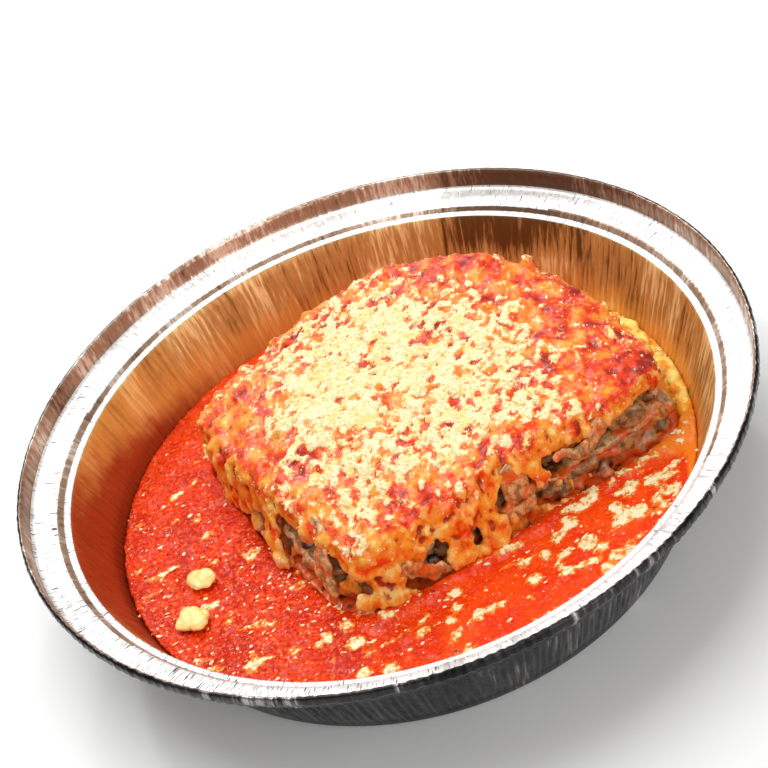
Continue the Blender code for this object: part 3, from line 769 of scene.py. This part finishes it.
# %% Two fillings of meat
FILLINGS = (  # each with the heights between which its crumbles lie, in millimetres
    ("meat_filling_1", 15.0, 27.0), ("meat_filling_2", 24.0, 38.0),
)
CRUMBLES = 260
MEAT_AT_RIGHT = (  # along, across, up and radius of a heap that bulges out at the front
    (39.0, -43.0, 33.0, 4.4), (44.0, -43.4, 30.0, 5.2), (49.0, -42.8, 28.0, 5.2),
    (53.0, -41.6, 25.0, 4.4),
)
for number, (node, low, high) in enumerate(FILLINGS):
    draw = np.random.default_rng(20 + number)
    rough = finish_piece(merged_copy(node), node + "_crumbles", meat_finish)
    spots, _ = edge_spots(rough, CRUMBLES, draw, low * MM, high * MM)
    bm = bmesh.new()
    bm.from_mesh(rough.data)
    for spot in spots:
        size = float(draw.uniform(1.1, 2.6)) * MM
        where = Matrix.Translation(Vector(spot + draw.normal(0.0, 0.7 * MM, 3)))
        squash = Matrix.Diagonal((*draw.uniform(0.7, 1.25, 3), 1.0))
        bmesh.ops.create_icosphere(bm, subdivisions=1, radius=size, matrix=where @ squash)
    if number == 1:
        add_strand(bm, MEAT_AT_RIGHT, (1.0, 0.45, 1.0), 2, 0.45)
    bm.to_mesh(rough.data)
    bm.free()
    one_skin(rough, 0.85 * MM, 1)
    table = corners_of(rough.data)
    table += normals_of(rough.data) * (0.35 * MM * wobble(table, 2.2 * MM, 9 + number, 3))[:, None]
    press_dents(table, outwards_from_middle(table))
    set_corners(rough.data, table)
    paint(rough, "hollow", hollows(rough.data) + 0.5 * hollows(rough.data, 30))
    place(rough, "filling", node)

# %% The foot of the slice
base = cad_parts["slice_base"]
base.data.materials.clear()
base.data.materials.append(meat_finish)
print("the foot keeps its solid, with the finish", meat_finish.name)

# %% [markdown]
# A cooked sheet of pasta is pale and soft, and its cut edge ruffles and curls down. The sheets
# are made finer and bent at the edge. Folds that have slipped out hang from them as ribbons, each
# of a few threads side by side, and near the sauce the dough is soaked red.


# %% Pasta finish
pasta_finish, tree, surface = start_finish("cooked_pasta", 0.3)
tones = pattern(tree, 2.2 * MM, (1.0, 1.0, 1.6), 4.0, 0.7)
dough = colour_mix(tree, between(tree, tones, 0.38, 0.62), tone(0.28, 0.13, 0.045), tone(0.76, 0.48, 0.20))
stained = between(tree, pattern(tree, 6.0 * MM, detail=4.0, roughness=0.7), 0.47, 0.58)
dough = colour_mix(tree, stained, dough, tone(0.74, 0.11, 0.006))
dough = colour_mix(tree, soaked(tree, 18.0 * MM), dough, tone(0.86, 0.12, 0.008))
# Painted highlight on the bumps and painted shade in the hollows, as on the meat.
lit = between(tree, painted(tree, "hollow"), -0.9, -2.0, 0.0, 0.6)
dough = colour_mix(tree, lit, dough, tone(0.94, 0.56, 0.20))
painted_hollow_shade = between(tree, painted(tree, "hollow"), 0.02, 0.5)
dough = colour_mix(tree, painted_hollow_shade, dough, tone(0.12, 0.024, 0.007))
tree.links.new(dough, surface.inputs["Base Color"])
tree.links.new(relief(tree, tones, 0.5 * MM), surface.inputs["Normal"])
surface.inputs["Coat Weight"].default_value = 0.8
wet_coat(tree, surface, 0.06)

# %% Three sheets of pasta and their folds
FRONT_FLAT, LEFT_FLAT = (1.0, 0.45, 1.0), (0.45, 1.0, 1.0)
FOLDS = {  # each fold: how it is flattened, then along, across, up and radius at every turn
    "pasta_sheet_1": (),
    "pasta_sheet_2": (
        (FRONT_FLAT, (54.0, -43.4, 26.0, 3.4), (58.0, -43.2, 22.5, 3.8), (62.0, -40.6, 20.0, 3.2)),
        (FRONT_FLAT, (-36.0, -45.6, 27.0, 3.0), (-31.0, -46.4, 22.0, 3.6), (-25.0, -47.2, 18.0, 3.4)),
        (FRONT_FLAT, (5.0, -44.2, 37.0, 3.8), (5.5, -45.2, 31.0, 4.2), (6.0, -46.0, 25.0, 3.8),
         (6.0, -46.6, 21.0, 3.0)),
    ),
    "pasta_sheet_3": (
        (FRONT_FLAT, (37.5, -43.8, 35.0, 3.4), (34.0, -45.4, 31.5, 3.8), (28.0, -46.0, 29.8, 3.6),
         (22.0, -45.6, 31.0, 3.0)),
        (LEFT_FLAT, (-49.0, -22.5, 37.0, 4.2), (-50.4, -25.5, 33.0, 4.6), (-52.4, -28.5, 28.0, 4.2),
         (-54.6, -31.0, 21.0, 4.0)),
    ),
}
for number, (node, folds) in enumerate(FOLDS.items()):
    bm = merged_copy(node)
    for flat, *strand in folds:
        add_strand(bm, strand, flat)
    sheet = finish_piece(bm, node + "_ruffled", pasta_finish)
    one_skin(sheet, 0.8 * MM, 2)
    table = corners_of(sheet.data)
    outwards = outwards_from_middle(table)
    at_edge = ramp(np.linalg.norm(table - np.array(SLICE_CENTRE), axis=1), 36.0 * MM, 44.0 * MM)
    table[:, 2] += 1.5 * MM * at_edge * wobble(outwards * 0.06, 7.0 * MM, 12 + number, 2)
    table += outwards * (1.0 * MM * at_edge * wobble(table, 8.0 * MM, 52 + number, 2))[:, None]
    table += normals_of(sheet.data) * (0.7 * MM * wobble(table, 3.0 * MM, 15 + number, 3))[:, None]
    set_corners(sheet.data, table)
    paint(sheet, "hollow", hollows(sheet.data) + 0.5 * hollows(sheet.data, 30))
    place(sheet, "pasta", node)

# %% [markdown]
# Melted cheese and sauce lie over the whole top and run down the sides. The solid gives its body.
# The finish goes from dark red through orange to pale yellow, with painted shade in the hollows and a
# painted highlight on the bumps; it is creamy and dry where grated cheese has melted into it.

# %% Melted cheese finish
melted_finish, tree, surface = start_finish("melted_cheese", 0.4)
surface.inputs["Specular IOR Level"].default_value = 0.15
mottle = pattern(tree, 2.6 * MM, detail=4.0, roughness=0.7)
warmth_and_shade = maths(tree, "ADD", painted(tree, "warmth_and_shade"), maths(tree, "MULTIPLY", mottle, 1.3))
skin = colour_mix(tree, between(tree, warmth_and_shade, 0.40, 0.80), tone(0.30, 0.008, 0.002), tone(0.88, 0.050, 0.003))
skin = colour_mix(tree, between(tree, warmth_and_shade, 0.82, 1.08), skin, tone(0.93, 0.23, 0.014))
skin = colour_mix(tree, between(tree, warmth_and_shade, 1.12, 1.36), skin, tone(0.98, 0.38, 0.03))
skin = colour_mix(tree, between(tree, warmth_and_shade, 1.42, 1.66), skin, tone(1.0, 0.70, 0.21))
# Painted highlight on the bumps, then painted shade in the hollows, dark red and then nearly black.
lit = maths(tree, "ADD", painted(tree, "hollow"), maths(tree, "MULTIPLY", mottle, -0.8))
skin = colour_mix(tree, between(tree, lit, -0.80, -1.50, 0.0, 0.7), skin, tone(1.0, 0.58, 0.11))
skin = colour_mix(tree, between(tree, painted(tree, "hollow"), 0.10, 0.55), skin, tone(0.42, 0.020, 0.003))
skin = colour_mix(tree, between(tree, painted(tree, "hollow"), 0.55, 1.30), skin, tone(0.10, 0.010, 0.003))
fine = pattern(tree, 0.8 * MM, detail=3.0, roughness=0.75)
cover = maths(tree, "ADD", painted(tree, "grated"), fine)
cover = maths(tree, "SUBTRACT", cover, maths(tree, "MULTIPLY", painted(tree, "hollow"), 0.25))
skin = colour_mix(tree, between(tree, cover, 0.74, 0.94), skin, tone(0.95, 0.45, 0.12))
dusted = between(tree, cover, 0.90, 1.06)
aged = between(tree, pattern(tree, 5.0 * MM), 0.42, 0.72)
cream = colour_mix(tree, aged, tone(1.0, 0.90, 0.57), tone(0.97, 0.76, 0.25))
tree.links.new(colour_mix(tree, dusted, skin, cream), surface.inputs["Base Color"])
tree.links.new(between(tree, dusted, 0.0, 1.0, 0.8, 0.0), surface.inputs["Coat Weight"])
wet = relief(tree, mottle, 0.4 * MM)
tree.links.new(relief(tree, fine, 0.3 * MM, wet), surface.inputs["Normal"])
wet_coat(tree, surface, 0.05)

# %% [markdown]
# Down the sides the cheese is a curtain of lumps. Balls are set on the solids' sides, except in the
# gaps where the layers show, chains of balls make the larger runs, and all of it is melted into one
# skin. Slow and fast random values then give the dimples and small lumps of a baked surface.

# %% Melted cheese: where it runs, and where it leaves gaps
RUNS = (  # threads, how they are flattened, then along, across, up and radius at every turn
    (1, FRONT_FLAT, (-42.0, -41.5, 31.0, 7.6), (-36.0, -42.2, 32.0, 7.2)),
    (2, FRONT_FLAT, (-48.0, -42.0, 19.5, 4.2), (-43.0, -45.5, 18.0, 4.2), (-37.0, -47.5, 16.8, 3.2)),
    (3, LEFT_FLAT, (-52.0, 38.0, 37.5, 4.6), (-57.0, 34.5, 32.0, 4.6), (-58.6, 32.0, 24.0, 4.4),
     (-59.6, 27.0, 17.5, 4.0)),
    (3, LEFT_FLAT, (-52.5, 4.0, 39.5, 4.4), (-55.5, 1.0, 33.0, 4.2), (-58.0, -3.0, 25.0, 4.2),
     (-60.0, -8.0, 18.0, 3.8)),
    (2, FRONT_FLAT, (-4.0, -42.5, 40.0, 5.6), (-5.0, -44.4, 33.0, 5.4), (-6.0, -45.6, 26.0, 4.4),
     (-4.0, -47.4, 19.0, 4.0)),
    (2, FRONT_FLAT, (-18.0, -43.0, 37.0, 5.4), (-17.0, -45.0, 30.0, 5.0), (-16.0, -46.4, 24.0, 4.6),
     (-18.0, -48.0, 18.0, 4.2)),
    (3, FRONT_FLAT, (12.0, -43.0, 39.0, 3.6), (12.5, -45.0, 33.0, 3.2), (14.0, -46.4, 27.0, 2.4)),
    (2, FRONT_FLAT, (55.0, -41.0, 37.0, 4.6), (60.0, -39.0, 32.0, 4.4)),
    (3, LEFT_FLAT, (62.0, -20.0, 36.0, 4.6), (66.0, -19.0, 28.0, 4.4), (69.0, -18.0, 19.0, 4.2)),
    (3, FRONT_FLAT, (20.0, 58.5, 42.0, 4.8), (20.0, 61.0, 32.0, 4.4), (21.0, 63.0, 22.0, 3.8)),
)
FRONT_GAPS = (  # along, up, half width and half height of the gaps in the cheese at the front
    (-28.0, 22.0, 8.5, 7.0), (5.5, 28.0, 4.5, 6.5), (14.0, 24.0, 4.0, 6.0), (23.0, 26.0, 6.0, 4.0),
    (28.0, 31.0, 9.0, 3.5), (34.0, 22.0, 7.0, 6.0), (45.0, 27.0, 9.0, 9.0), (58.0, 25.0, 6.0, 7.0),
)
LEFT_GAPS = (  # the same at the left, with across in place of along
    (-16.0, 24.0, 5.0, 6.0), (-9.0, 32.0, 5.0, 4.0), (10.0, 24.0, 6.0, 6.0), (25.0, 28.0, 5.0, 7.0),
    (-30.0, 27.0, 4.0, 7.0), (42.0, 24.0, 4.0, 6.0),
)


def in_gap(spot):
    """Whether the cheese leaves a point on the slice's side bare."""
    (along,), (across,) = slice_places(spot[None])
    up = spot[2] / MM
    if across < -36.0:
        gaps, run = FRONT_GAPS, along
    elif along < -42.0:
        gaps, run = LEFT_GAPS, across
    else:
        return bool(wobble(spot[None], 9.0 * MM, 66, 2)[0] > 0.12 and up < 36.0)
    return any(math.hypot((run - middle) / wide, (up - height) / tall) < 1.0
               for middle, height, wide, tall in gaps)


print("runs of cheese", len(RUNS), "and gaps", len(FRONT_GAPS) + len(LEFT_GAPS))

# %% Melted cheese: one skin
BALLS = {  # how many are set on the side of each solid
    "cheese_topping": 260, "meat_filling_2": 150, "pasta_sheet_2": 70, "meat_filling_1": 180,
    "pasta_sheet_1": 110,
}
bm = merged_copy("cheese_topping")
draw = np.random.default_rng(17)
for node, count in BALLS.items():
    spots, outwards = edge_spots(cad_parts[node], count, draw, 15.0 * MM, 45.0 * MM)
    for spot, outward in zip(spots, outwards):
        if in_gap(spot) or (outward * outwards_from_middle(spot[None])[0]).sum() < 0.3:
            continue
        size = float(1.1 + 2.6 * draw.random() ** 1.8) * MM
        squash = Matrix.Diagonal((*draw.uniform(0.7, 1.0, 2), draw.uniform(0.9, 1.9), 1.0))
        where = Matrix.Translation(Vector(spot - outward * 0.3 * size + draw.normal(0.0, 0.4 * MM, 3)))
        bmesh.ops.create_icosphere(bm, subdivisions=2, radius=size, matrix=where @ squash)
for threads, flat, *strand in RUNS:
    add_strand(bm, strand, flat, threads)
topping = finish_piece(bm, "melted_cheese_and_sauce", melted_finish)
one_skin(topping, 0.8 * MM, 2)

# %% Melted cheese: dimples and lumps
table = corners_of(topping.data)
facing = normals_of(topping.data)
along, across = slice_places(table)
up = table[:, 2] / MM
slow, fast = wobble(table, 10.0 * MM, 18, 3), wobble(table, 2.6 * MM, 19, 3)
streaks = wobble(table * np.array((1.0, 1.0, 0.6)), 2.8 * MM, 24, 3)
top_side = ramp(facing[:, 2] + 0.35 * fast, 0.30, 0.75) * ramp(up, 31.0, 36.0)
lift = top_side * (1.3 * slow + 0.8 * fast) + (1.0 - top_side) * (0.8 * slow + 1.1 * streaks)
print("share of the corners on the top", round(float((top_side > 0.5).mean()), 2))

# %% [markdown]
# The grated cheese lies thickest on the middle of the top, thins out towards its edges and leaves
# some places bare. The painted value "grated" tells the finish where it has melted in, and later
# says where the crumbs fall. A second painted value says how red or yellow the rest is, and it also
# darkens the side under the hem at the front-right corner as painted shade.

# %% Melted cheese: where the grated cheese lies, and how red the rest is
BARE = (  # along, across, reach and strength of places with little grated cheese
    (-10.0, -5.0, 6.0, 0.45), (12.0, 10.0, 5.0, 0.5), (14.0, -4.0, 4.0, 0.35), (-38.0, 3.0, 6.0, 0.25),
    (40.0, 26.0, 20.0, 0.55), (58.0, -5.0, 16.0, 0.5), (50.0, -36.0, 12.0, 0.5), (-52.0, 36.0, 15.0, 0.5),
    (30.0, 50.0, 14.0, 0.45), (-26.0, -38.0, 8.0, 0.25), (40.0, -28.0, 8.0, 0.3), (-54.0, 10.0, 8.0, 0.4),
)
middle_part = bell(np.hypot((along - 2.0) / 40.0, (across - 12.0) / 26.0), 0.0, 1.0, 4)
near_edge = np.maximum.reduce([ramp(-across, 26.0, 42.0), ramp(-along, 34.0, 52.0), ramp(along, 36.0, 58.0),
                               ramp(across, 42.0, 56.0)])
sprinkle = 0.50 + 0.30 * middle_part - 0.25 * near_edge
sprinkle += 0.36 * wobble(table, 8.0 * MM, 21, 2) + 0.75 * wobble(table, 2.8 * MM, 22, 3)
for spot_along, spot_across, reach, strength in BARE:
    sprinkle -= strength * bell(np.hypot(along - spot_along, across - spot_across), 0.0, reach)
grated = np.clip(sprinkle, 0.0, 1.0) * top_side
warmth_and_shade = 0.29 + 0.66 * wobble(table, 6.0 * MM, 23, 3) + 0.24 * (1.0 - top_side)
# Painted shade: darker red on the side of the front-right corner, under its hem.
warmth_and_shade -= 0.55 * bell(np.hypot(along - 57.0, across + 33.0), 0.0, 9.0) * ramp(-up, -44.0, -38.0)
lift += 0.5 * ramp(grated, 0.45, 0.7) * (0.8 + 0.8 * wobble(table, 1.2 * MM, 25, 2))
table += facing * (lift * MM)[:, None]
set_corners(topping.data, table)
paint(topping, "hollow", 0.8 * hollows(topping.data) + 0.5 * hollows(topping.data, 40) * (1.0 - top_side))
paint(topping, "grated", grated)
paint(topping, "warmth_and_shade", warmth_and_shade)
place(topping, "melted_cheese", "cheese_topping")
print("top of the slice", round(table[:, 2].max() / MM, 1), "mm")

# %% [markdown]
# Grated hard cheese falls as crumbs, most of them well under a millimetre and a few a little over
# one. Each is a ball of twenty faces pulled out of shape. A few such kinds are stamped thousands of
# times, turned and sized differently, most where the cheese lies. On the sauce they are drawn out,
# and at its left the pale specks also stand in for the sauce's glints as painted highlights.

# %% Grated cheese finish
crumb_finish, tree, surface = start_finish("grated_cheese", 0.55)
stain = between(tree, pattern(tree, 2.5 * MM, detail=2.0), 0.45, 0.75)
pale = colour_mix(tree, stain, tone(1.0, 0.90, 0.60), tone(0.96, 0.70, 0.26))
tree.links.new(pale, surface.inputs["Base Color"])
tree.links.new(relief(tree, pattern(tree, 0.5 * MM, detail=2.0), 0.15 * MM), surface.inputs["Normal"])


# %% Crumbs: kinds, places and stamping
CRUMB_KINDS = 14


def crumb_kinds(count, draw):
    """A few uneven little bodies, each pulled from the simplest ball."""
    kinds = []
    for _ in range(count):
        bm = bmesh.new()
        bmesh.ops.create_icosphere(bm, subdivisions=1, radius=1.0)
        shape = np.array([vert.co for vert in bm.verts])
        faces = np.array([[vert.index for vert in face.verts] for face in bm.faces])
        bm.free()
        kinds.append((shape * draw.uniform(0.65, 1.3, (len(shape), 1)), faces))
    return kinds


def scatter_places(piece, weights, count, draw):
    """Random points on a piece's faces, likelier where the corners' weights are high."""
    mesh = piece.data
    mesh.calc_loop_triangles()
    tris = np.empty(len(mesh.loop_triangles) * 3, np.int32)
    mesh.loop_triangles.foreach_get("vertices", tris)
    tris = tris.reshape(-1, 3)
    spots, facing = corners_of(mesh), normals_of(mesh)
    a, b, c = (spots[tris[:, corner]] for corner in range(3))
    chance = np.linalg.norm(np.cross(b - a, c - a), axis=1) * weights[tris].mean(1)
    picked = draw.choice(len(tris), count, p=chance / chance.sum())
    first, second = draw.random(count), draw.random(count)
    flip = first + second > 1.0
    first[flip], second[flip] = 1.0 - first[flip], 1.0 - second[flip]
    inside = a[picked] + (b - a)[picked] * first[:, None] + (c - a)[picked] * second[:, None]
    return inside, facing[tris[picked, 0]], weights[tris[picked, 0]]


def stamp_crumbs(name, spots, facing, sizes, draw, drawn_out=False):
    """One mesh with a crumb at every place. Drawn-out ones lie flat, most along the slice's front."""
    kinds = crumb_kinds(CRUMB_KINDS, draw)
    every_corner, every_face, start = [], [], 0
    for spot, normal, size in zip(spots, facing, sizes):
        shape, faces = kinds[draw.integers(len(kinds))]
        if drawn_out:
            turn = Matrix.Rotation(SLICE_TURN + draw.normal(0.0, 0.45), 3, "Z")
            longer = draw.uniform((0.7, 0.45, 0.3), (1.9, 1.0, 0.7)) * size
        else:
            turn = Euler(draw.uniform(0.0, math.tau, 3)).to_matrix()
            longer = draw.uniform(0.7, 1.35, 3) * size
        turned = (shape * longer) @ np.array(turn).T
        every_corner.append(turned + spot + normal * size * 0.3)
        every_face.append(faces + start)
        start += len(shape)
    mesh = bpy.data.meshes.new(name)
    mesh.from_pydata(np.concatenate(every_corner).tolist(), [], np.concatenate(every_face).tolist())
    mesh.materials.append(crumb_finish)
    crumbs = bpy.data.objects.new(name, mesh)
    bpy.context.scene.collection.objects.link(crumbs)
    print(name, len(mesh.polygons), "triangles")
    return crumbs


# %% Crumbs on the slice and on the sauce
CRUMBS_ON_SLICE, CRUMBS_AND_GLINTS_ON_SAUCE = 9600, 1400
draw = np.random.default_rng(31)
cover = ramp(grated, 0.35, 0.75) * top_side + 0.02 * top_side + 0.01 + 0.06 * ramp(up, 30.0, 38.0)
spots, facing, here = scatter_places(topping, cover, CRUMBS_ON_SLICE, draw)
sizes = (0.17 + 0.42 * draw.random(len(spots)) ** 2.6) * (0.6 + 0.4 * ramp(here, 0.1, 0.6)) * MM
place(stamp_crumbs("grated_cheese_on_top", spots, facing, sizes, draw), "grated_cheese")

draw = np.random.default_rng(32)
flat_top = ramp(normals_of(sauce.data)[:, 2], 0.5, 0.8) * (corners_of(sauce.data)[:, 2] > 14.5 * MM)
# Besides real crumbs of cheese, the extra pale specks at the left stand in for the sauce's glints as painted
# highlights.
cover = (0.25 * ramp(cheese, 0.5, 1.0) + 0.012 + 0.03 * busy + 0.07 * at_left) * flat_top
spots, facing, _ = scatter_places(sauce, cover, CRUMBS_AND_GLINTS_ON_SAUCE, draw)
sizes = (0.13 + 0.60 * draw.random(len(spots)) ** 3.2) * MM
place(stamp_crumbs("cheese_specks_and_glints_on_sauce", spots, facing, sizes, draw, drawn_out=True), "grated_cheese")

# %% [markdown]
# Two larger lumps of yellow cheese lie on the sauce at the left. Each solid is made finer, smoothed,
# and given an uneven form and skin, because a torn bit of cheese is neither round nor smooth.

# %% Lumps of cheese
lump_finish, tree, surface = start_finish("soft_cheese", 0.4)
edge = between(tree, pattern(tree, 3.0 * MM, detail=2.0), 0.45, 0.7)
yellow = colour_mix(tree, edge, tone(1.0, 0.84, 0.34), tone(0.97, 0.62, 0.13))
tree.links.new(yellow, surface.inputs["Base Color"])
for number in (1, 2):
    node = f"cheese_lump_{number}"
    lump = finish_piece(merged_copy(node), node + "_soft", lump_finish)
    one_skin(lump, 0.4 * MM, 110)
    table = corners_of(lump.data)
    centre = table.mean(0)
    table = centre + (table - centre) * np.array((1.28, 1.28, 1.15))
    apart = table - centre
    swell = 0.30 * wobble(apart * np.array((1.0, 1.0, 0.4)), 6.0 * MM, 70 + number, 2)
    table += apart * swell[:, None]
    table += normals_of(lump.data) * (0.4 * MM * wobble(table, 2.0 * MM, 40 + number, 3))[:, None]
    set_corners(lump.data, table)
    place(lump, "grated_cheese", node)

# %% [markdown]
# The last cell writes the box of the solids and the box of the dressed part.

# %% Sizes and finish
boxes = {"cad": CAD_BOX, "visual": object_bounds()}
for name, box in boxes.items():
    print(name, [[round(value / MM, 1) for value in corner] for corner in box])
